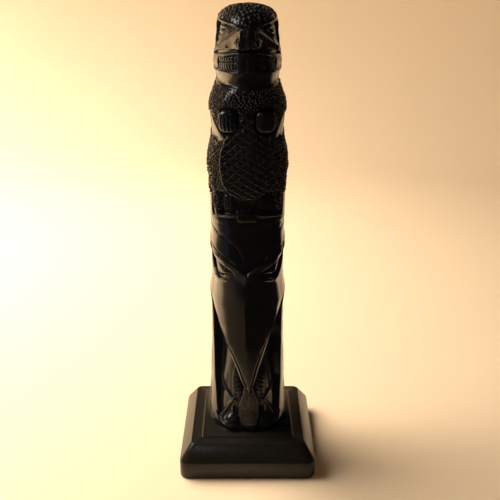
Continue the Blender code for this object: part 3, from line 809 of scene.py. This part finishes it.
pole_resin = resin_look(
    "pole_resin", cold=(0.003, 0.0045, 0.006, 1.0), warm=(0.008, 0.007, 0.005, 1.0),
    worn=(0.05, 0.044, 0.036, 1.0), roughness=(0.09, 0.16), bump=0.00015, shine=0.5,
)
plinth_resin = resin_look(
    "plinth_resin", cold=(0.009, 0.0085, 0.006, 1.0), warm=(0.013, 0.012, 0.009, 1.0),
    worn=(0.03, 0.027, 0.02, 1.0), roughness=(0.22, 0.26), bump=0.00002, shine=0.32,
)
print("materials:", pole_resin.name, plinth_resin.name)

# %% [markdown]
# ## Fur
#
# The fur is a stipple of small raised dashes. Geometry Nodes scatter them over the carved
# surface where an attribute asks for it, turn each to lie along the surface with its length
# pointing up, and join them to the carving. The body has close fur, the crown has larger
# tufts, and the bird's tail has the finest stipple.


# %% One tuft
TUFT_SIDES = 6


def tuft_mesh():
    """A low dash, pointed at its lower end: two rings of places and two ends."""
    mesh = bmesh.new()
    loops = []
    for along, width, rise in ((-0.4, 0.85, 0.9), (0.5, 1.0, 1.0)):
        turns = [step * math.tau / TUFT_SIDES for step in range(TUFT_SIDES)]
        ring = [(0.5 * width * math.cos(turn), along, 0.5 * rise * math.sin(turn)) for turn in turns]
        loops.append([mesh.verts.new(place) for place in ring])
    low = mesh.verts.new((0, -1.0, 0.05))
    high = mesh.verts.new((0, 0.95, 0.1))
    for step in range(TUFT_SIDES):
        after = (step + 1) % TUFT_SIDES
        mesh.faces.new((loops[0][step], loops[0][after], loops[-1][after], loops[-1][step]))
    for step in range(TUFT_SIDES):
        after = (step + 1) % TUFT_SIDES
        mesh.faces.new((loops[0][after], loops[0][step], low))
        mesh.faces.new((loops[-1][step], loops[-1][after], high))
    bmesh.ops.recalc_face_normals(mesh, faces=mesh.faces)
    data = bpy.data.meshes.new("fur_tuft")
    mesh.to_mesh(data)
    mesh.free()
    data.shade_smooth()
    return data


tuft = bpy.data.objects.new("fur_tuft", tuft_mesh())
TUFT_FACES = len(tuft.data.polygons)
print("one tuft:", TUFT_FACES, "faces")


# %% The fur tree
TUFT_SIZES = (("Spacing", 0.0012), ("Tuft width", 0.0008), ("Tuft length", 0.0006), ("Tuft rise", 0.0011))
FUR_DENSITY = 3_000_000.0
FUR_FROM = 0.4


def fur_tree():
    """Scatters tufts where the ground's coat attribute asks for them, and joins them to the geometry."""
    tree = bpy.data.node_groups.new("scattered_fur", "GeometryNodeTree")
    face = tree.interface
    face.new_socket("Geometry", in_out="INPUT", socket_type="NodeSocketGeometry")
    for label, value in TUFT_SIZES:
        socket = face.new_socket(label, in_out="INPUT", socket_type="NodeSocketFloat")
        socket.default_value = value
    face.new_socket("Ground", in_out="INPUT", socket_type="NodeSocketObject")
    face.new_socket("Coat", in_out="INPUT", socket_type="NodeSocketString")
    face.new_socket("Seed", in_out="INPUT", socket_type="NodeSocketInt")
    face.new_socket("Tuft", in_out="INPUT", socket_type="NodeSocketObject")
    face.new_socket("Material", in_out="INPUT", socket_type="NodeSocketMaterial")
    face.new_socket("Geometry", in_out="OUTPUT", socket_type="NodeSocketGeometry")
    new, link = tree.nodes.new, tree.links.new
    start, end = new("NodeGroupInput"), new("NodeGroupOutput")

    fur_here = new("GeometryNodeInputNamedAttribute")
    fur_here.data_type = "FLOAT"
    link(start.outputs["Coat"], fur_here.inputs["Name"])
    scatter = new("GeometryNodeDistributePointsOnFaces")
    scatter.distribute_method = "POISSON"
    ground = new("GeometryNodeObjectInfo")
    link(start.outputs["Ground"], ground.inputs["Object"])
    link(ground.outputs["Geometry"], scatter.inputs["Mesh"])
    link(start.outputs["Spacing"], scatter.inputs["Distance Min"])
    scatter.inputs["Density Max"].default_value = FUR_DENSITY
    wanted = new("FunctionNodeCompare")
    wanted.operation = "GREATER_THAN"
    wanted.inputs["B"].default_value = FUR_FROM
    link(fur_here.outputs["Attribute"], wanted.inputs["A"])
    link(wanted.outputs["Result"], scatter.inputs["Density Factor"])
    link(start.outputs["Seed"], scatter.inputs["Seed"])

    upright = new("FunctionNodeAlignRotationToVector")
    upright.axis = "Z"
    link(scatter.outputs["Normal"], upright.inputs["Vector"])
    lengthwise = new("FunctionNodeAlignRotationToVector")
    lengthwise.axis = "Y"
    lengthwise.pivot_axis = "Z"
    lengthwise.inputs["Vector"].default_value = (0.0, 0.0, 1.0)
    link(upright.outputs["Rotation"], lengthwise.inputs["Rotation"])
    sway = new("FunctionNodeRandomValue")
    sway.data_type = "FLOAT_VECTOR"
    sway.inputs[0].default_value = (-0.15, -0.15, -0.55)
    sway.inputs[1].default_value = (0.15, 0.15, 0.55)
    link(start.outputs["Seed"], sway.inputs["Seed"])
    turned = new("FunctionNodeRotateRotation")
    turned.rotation_space = "LOCAL"
    link(lengthwise.outputs["Rotation"], turned.inputs["Rotation"])
    link(sway.outputs[0], turned.inputs["Rotate By"])

    size = new("ShaderNodeCombineXYZ")
    link(start.outputs["Tuft width"], size.inputs["X"])
    link(start.outputs["Tuft length"], size.inputs["Y"])
    link(start.outputs["Tuft rise"], size.inputs["Z"])
    vary = new("FunctionNodeRandomValue")
    vary.data_type = "FLOAT"
    vary.inputs[2].default_value = 0.7
    vary.inputs[3].default_value = 1.3
    link(start.outputs["Seed"], vary.inputs["Seed"])
    scaled = new("ShaderNodeVectorMath")
    scaled.operation = "SCALE"
    link(size.outputs["Vector"], scaled.inputs[0])
    link(vary.outputs[1], scaled.inputs["Scale"])

    lessened = new("ShaderNodeVectorMath")
    lessened.operation = "SCALE"
    link(scaled.outputs["Vector"], lessened.inputs[0])
    link(fur_here.outputs["Attribute"], lessened.inputs["Scale"])

    source = new("GeometryNodeObjectInfo")
    link(start.outputs["Tuft"], source.inputs["Object"])
    lay = new("GeometryNodeInstanceOnPoints")
    link(scatter.outputs["Points"], lay.inputs["Points"])
    link(source.outputs["Geometry"], lay.inputs["Instance"])
    link(turned.outputs["Rotation"], lay.inputs["Rotation"])
    link(lessened.outputs["Vector"], lay.inputs["Scale"])
    solid = new("GeometryNodeRealizeInstances")
    link(lay.outputs["Instances"], solid.inputs["Geometry"])
    both = new("GeometryNodeJoinGeometry")
    link(start.outputs["Geometry"], both.inputs["Geometry"])
    link(solid.outputs["Geometry"], both.inputs["Geometry"])
    finish = new("GeometryNodeSetMaterial")
    link(both.outputs["Geometry"], finish.inputs["Geometry"])
    link(start.outputs["Material"], finish.inputs["Material"])
    link(finish.outputs["Geometry"], end.inputs["Geometry"])
    return tree


def lay_fur(shown, **values):
    """Runs the fur tree on an object with the values given by socket name."""
    tree = fur_tree()
    step = shown.modifiers.new("fur", "NODES")
    step.node_group = tree
    for item in tree.interface.items_tree:
        if item.in_out == "INPUT" and item.name in values:
            step[item.identifier] = values[item.name]
    applied(shown)


# Coat, then spacing, width, half length and rise of its tufts in metres
FUR = (
    ("body_fur", 0.00098, 0.0008, 0.0006, 0.0011),
    ("crown_fur", 0.0017, 0.0013, 0.0008, 0.0009),
    ("down", 0.00066, 0.0005, 0.0004, 0.0009),
)
FUR_SEED = 7
before = len(carved.data.polygons)
for name, spacing, width, length, rise in FUR:
    lay_fur(carved, **{
        "Coat": name, "Spacing": spacing, "Tuft width": width, "Tuft length": length, "Tuft rise": rise,
        "Seed": FUR_SEED, "Tuft": tuft, "Ground": ground, "Material": pole_resin,
    })
bpy.data.objects.remove(tuft)
bpy.data.objects.remove(ground)
carved.name = "totem_pole_carved"
tufts = (len(carved.data.polygons) - before) // TUFT_FACES
triangles = sum(len(face.vertices) - 2 for face in carved.data.polygons)
print("fur tufts:", tufts, "triangles in all:", triangles)

# %% [markdown]
# ## The plinth
#
# A square block with rounded upright corners, a sloping shoulder and a thin raised square
# on top. A Bevel could soften its edges, but it is lofted from rounded squares anyway, so
# two rings close together round each edge off as casting does.


# %% Build the plinth
PLINTH_HALF = 0.5 * (PLINTH_BOX[1][0] - PLINTH_BOX[0][0])
PLINTH_TOP = PLINTH_BOX[1][2]
PANEL_RISE = 0.0006
SIDE_TOP = 0.0083
FOOT_EDGE = 0.0007
CORNER_RADIUS = 0.0040
SHOULDER_HALF = 0.0250
SHOULDER_RADIUS = 0.0024
PANEL_HALF = 0.0201
PANEL_RADIUS = 0.0010
CORNER_STEPS = 12


def rounded_square(half, radius, z):
    ring = []
    reach = (half - radius) * math.sqrt(2)
    for quarter in range(4):
        start = quarter * math.pi / 2
        for step in range(CORNER_STEPS + 1):
            angle = start + step * math.pi / 2 / CORNER_STEPS
            x = reach * math.cos(start + math.pi / 4) + radius * math.cos(angle)
            y = reach * math.sin(start + math.pi / 4) + radius * math.sin(angle)
            ring.append((x, y, z))
    return ring


def build_plinth():
    shoulder = PLINTH_TOP - PANEL_RISE
    rings = [
        rounded_square(PLINTH_HALF - FOOT_EDGE, CORNER_RADIUS - FOOT_EDGE, 0.0),
        rounded_square(PLINTH_HALF - 0.0002, CORNER_RADIUS - 0.0002, 0.0003),
        rounded_square(PLINTH_HALF, CORNER_RADIUS, 0.0009),
        rounded_square(PLINTH_HALF, CORNER_RADIUS, SIDE_TOP - 0.0004),
        rounded_square(PLINTH_HALF - 0.0003, CORNER_RADIUS - 0.0002, SIDE_TOP + 0.0004),
        rounded_square(SHOULDER_HALF + 0.0006, SHOULDER_RADIUS + 0.0002, shoulder - 0.0006),
        rounded_square(SHOULDER_HALF, SHOULDER_RADIUS, shoulder),
        rounded_square(PANEL_HALF + 0.0007, PANEL_RADIUS + 0.0003, shoulder),
        rounded_square(PANEL_HALF + 0.0004, PANEL_RADIUS + 0.0002, shoulder + 0.0001),
        rounded_square(PANEL_HALF + 0.0002, PANEL_RADIUS + 0.0002, PLINTH_TOP - 0.0001),
        rounded_square(PANEL_HALF, PANEL_RADIUS, PLINTH_TOP),
    ]
    mesh = bmesh.new()
    loops = [[mesh.verts.new(place) for place in ring] for ring in rings]
    count = len(loops[0])
    for low, high in zip(loops[:-1], loops[1:]):
        for place in range(count):
            after = (place + 1) % count
            mesh.faces.new((low[place], low[after], high[after], high[place]))
    mesh.faces.new(loops[0][::-1])
    mesh.faces.new(loops[-1])
    bmesh.ops.recalc_face_normals(mesh, faces=mesh.faces)
    data = bpy.data.meshes.new("plinth_cast")
    mesh.to_mesh(data)
    mesh.free()
    data.shade_smooth()
    data.set_sharp_from_angle(angle=math.radians(38))
    data.materials.append(plinth_resin)
    shown = bpy.data.objects.new("plinth_cast", data)
    bpy.context.scene.collection.objects.link(shown)
    return shown


plinth = build_plinth()
print("plinth:", len(plinth.data.polygons), "faces")

# %% [markdown]
# ## Tie the pieces to the solid model
#
# Each piece rides on the one body and stands in for its own solid node, which is hidden.

# %% Tie the pieces
for piece, node, slot in ((carved, "totem_pole", "pole_resin"), (plinth, "plinth", "plinth_resin")):
    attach(piece, "root")
    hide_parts(node)
    print(piece.name, "stands for", node)

# %% [markdown]
# ## Studio
#
# A pale sweep runs up into a low wall all round, so that it fills the picture from any
# side. A large soft light stands to the left and lights the paper, a smaller one puts
# glints on the carving, and two weak cool ones stand for a window and the sky outside it.
#
# A gloss this dark shows little but its surroundings, and in front and to the right of the
# real object the room is dark. So the sweep is made twice: one that the eye sees, and just
# above it one that only the gloss sees. That one lacks a wedge in front and to the right, and
# has painted shade: its colour darkens to black towards the front, where the light falls off.


# %% The sweep
# Degrees from the front towards the right, then metres
DARK_WEDGE = (-26.0, 138.0)
FRONT_EDGE = -0.16
NEAR_FLOOR = 0.10
FLAT_REACH = 0.55
CURVE_RADIUS = 0.42
WALL_TOP = 0.5
SPOKES = 72
MIRROR_LIFT = 0.0002


def sweep(plain_paper, mirrored_paper):
    """A round floor that curves up into a low wall, and just above it the part that gloss mirrors."""
    profile = [(NEAR_FLOOR, 0.0), (0.2, 0.0), (0.4, 0.0), (FLAT_REACH, 0.0)]
    for rise in np.linspace(0.1, math.pi / 2, 18):
        reach = FLAT_REACH + CURVE_RADIUS * math.sin(rise)
        profile.append((reach, CURVE_RADIUS - CURVE_RADIUS * math.cos(rise)))
    profile.append((FLAT_REACH + CURVE_RADIUS, WALL_TOP))
    mesh = bmesh.new()
    turns = [step * math.tau / SPOKES for step in range(SPOKES)]
    rows = [[mesh.verts.new((r * math.cos(t), r * math.sin(t), z)) for r, z in profile] for t in turns]
    middle = mesh.verts.new((0, 0, 0))
    for first, last in zip(rows, rows[1:] + rows[:1]):
        mesh.faces.new((middle, first[0], last[0]))
        for place in range(len(first) - 1):
            mesh.faces.new((first[place], first[place + 1], last[place + 1], last[place]))
    for angle in DARK_WEDGE:
        turn = math.radians(angle)
        facing = (math.cos(turn), math.sin(turn), 0)
        parts = mesh.verts[:] + mesh.edges[:] + mesh.faces[:]
        bmesh.ops.bisect_plane(mesh, geom=parts, plane_co=(0, 0, 0), plane_no=facing)
    parts = mesh.verts[:] + mesh.edges[:] + mesh.faces[:]
    bmesh.ops.bisect_plane(mesh, geom=parts, plane_co=(0, FRONT_EDGE, 0), plane_no=(0, 1, 0))
    for name, mirrored in (("floor_mirrored", True), ("floor_plain", False)):
        part = mesh.copy()
        if mirrored:
            dropped = []
            for face in part.faces:
                centre = face.calc_center_median()
                angle = math.degrees(math.atan2(centre.x, -centre.y))
                in_gloss = centre.y > FRONT_EDGE and not DARK_WEDGE[0] < angle < DARK_WEDGE[1]
                if not in_gloss and centre.xy.length > NEAR_FLOOR:
                    dropped.append(face)
            bmesh.ops.delete(part, geom=dropped, context="FACES")
            bmesh.ops.translate(part, verts=part.verts, vec=(0, 0, MIRROR_LIFT))
        data = bpy.data.meshes.new(name)
        part.to_mesh(data)
        part.free()
        data.shade_smooth()
        data.materials.append(mirrored_paper if mirrored else plain_paper)
        shown = bpy.data.objects.new(name, data)
        shown.visible_glossy = mirrored
        shown.visible_camera = not mirrored
        shown.visible_diffuse = not mirrored
        shown.visible_shadow = not mirrored
        bpy.context.scene.collection.objects.link(shown)
    mesh.free()


CREAM = (0.86, 0.69, 0.47, 1.0)
DEEPER_CREAM = (0.80, 0.64, 0.43, 1.0)
# Painted shade: the gloss-only sweep darkens to this black towards the front, where the light falls off
PAINTED_SHADE_BLACK = (0.01, 0.01, 0.01, 1.0)
DIM_FROM = -0.035
DIM_TO = -0.10
DIM_SHARE = 0.84
DIM_ASIDE = 0.5


def paper(name, dimmed):
    """Cream paper. Dimmed, it has painted shade: it darkens to black towards the front and the sides of
    the front.
    """
    material = bpy.data.materials.new(name)
    material.use_nodes = True
    tree = material.node_tree
    shader = tree.nodes["Principled BSDF"]
    coordinates = tree.nodes.new("ShaderNodeTexCoord")
    noise = tree.nodes.new("ShaderNodeTexNoise")
    noise.inputs["Scale"].default_value = 3.0
    tree.links.new(coordinates.outputs["Object"], noise.inputs["Vector"])
    colour = colour_mix(tree, noise.outputs["Fac"], CREAM, DEEPER_CREAM)
    # Painted shade: darker towards the front and the sides of the front, where the light falls off
    if dimmed:
        parts = tree.nodes.new("ShaderNodeSeparateXYZ")
        tree.links.new(coordinates.outputs["Object"], parts.inputs["Vector"])
        aside = tree.nodes.new("ShaderNodeMath")
        aside.operation = "ABSOLUTE"
        tree.links.new(parts.outputs["X"], aside.inputs[0])
        behind = tree.nodes.new("ShaderNodeMath")
        behind.operation = "MULTIPLY_ADD"
        behind.inputs[1].default_value = -DIM_ASIDE
        tree.links.new(aside.outputs["Value"], behind.inputs[0])
        tree.links.new(parts.outputs["Y"], behind.inputs[2])
        dimmer = tree.nodes.new("ShaderNodeMapRange")
        dimmer.interpolation_type = "SMOOTHSTEP"
        dimmer.inputs["From Min"].default_value = DIM_FROM
        dimmer.inputs["From Max"].default_value = DIM_TO
        dimmer.inputs["To Max"].default_value = DIM_SHARE
        tree.links.new(behind.outputs["Value"], dimmer.inputs["Value"])
        colour = colour_mix(tree, dimmer.outputs["Result"], colour, PAINTED_SHADE_BLACK)
    tree.links.new(colour, shader.inputs["Base Color"])
    shader.inputs["Roughness"].default_value = 0.85
    shader.inputs["Specular IOR Level"].default_value = 0.2
    return material


sweep(paper("cream_paper", dimmed=False), paper("paper_with_painted_shade", dimmed=True))
print("sweep of", SPOKES, "spokes")

# %% Lights and camera
CAMERA_PLACE = (0.0, -0.306, 0.2067)
CAMERA_TILT = 70.3
ROOM = (0.010, 0.011, 0.016, 1.0)
# Name, place, aim, width, watts, colour, and whether the gloss mirrors the lamp itself
LAMPS = (
    ("lamp", (-0.42, 0.25, 0.50), (-0.34, 0.25, 0), 0.6, 10.5, (1.0, 0.88, 0.76), False),
    ("glint", (-0.42, -0.02, 0.48), (0, 0, 0.12), 0.30, 1.1, (1.0, 0.94, 0.86), True),
    ("window", (-0.16, -0.70, 0.62), (0, 0, 0.1), 0.08, 0.10, (0.85, 0.92, 1.0), True),
    ("sky", (-0.95, -0.62, 0.12), (0, 0, 0.1), 0.8, 0.26, (0.36, 0.52, 1.0), True),
)


def soft_light(name, place, aim, size, power, colour, in_gloss):
    data = bpy.data.lights.new(name, "AREA")
    data.shape = "DISK"
    data.size = size
    data.energy = power
    data.color = colour
    lamp = bpy.data.objects.new(name, data)
    lamp.location = place
    lamp.rotation_euler = (Vector(aim) - Vector(place)).to_track_quat("-Z", "Y").to_euler()
    lamp.visible_glossy = in_gloss
    bpy.context.scene.collection.objects.link(lamp)


for values in LAMPS:
    soft_light(*values)

world = bpy.data.worlds.new("dim_room")
bpy.context.scene.world = world
world.use_nodes = True
world.node_tree.nodes["Background"].inputs["Color"].default_value = ROOM
world.node_tree.nodes["Background"].inputs["Strength"].default_value = 1.0

view = bpy.data.cameras.new("camera")
view.sensor_width = 36.0
view.lens = 53.57
view.shift_x = 0.005
view.clip_start = 0.01
camera = bpy.data.objects.new("camera", view)
camera.location = CAMERA_PLACE
camera.rotation_euler = (math.radians(CAMERA_TILT), 0.0, 0.0)
bpy.context.scene.collection.objects.link(camera)
bpy.context.scene.camera = camera
bpy.context.scene.view_settings.view_transform = "Standard"
print("studio ready")
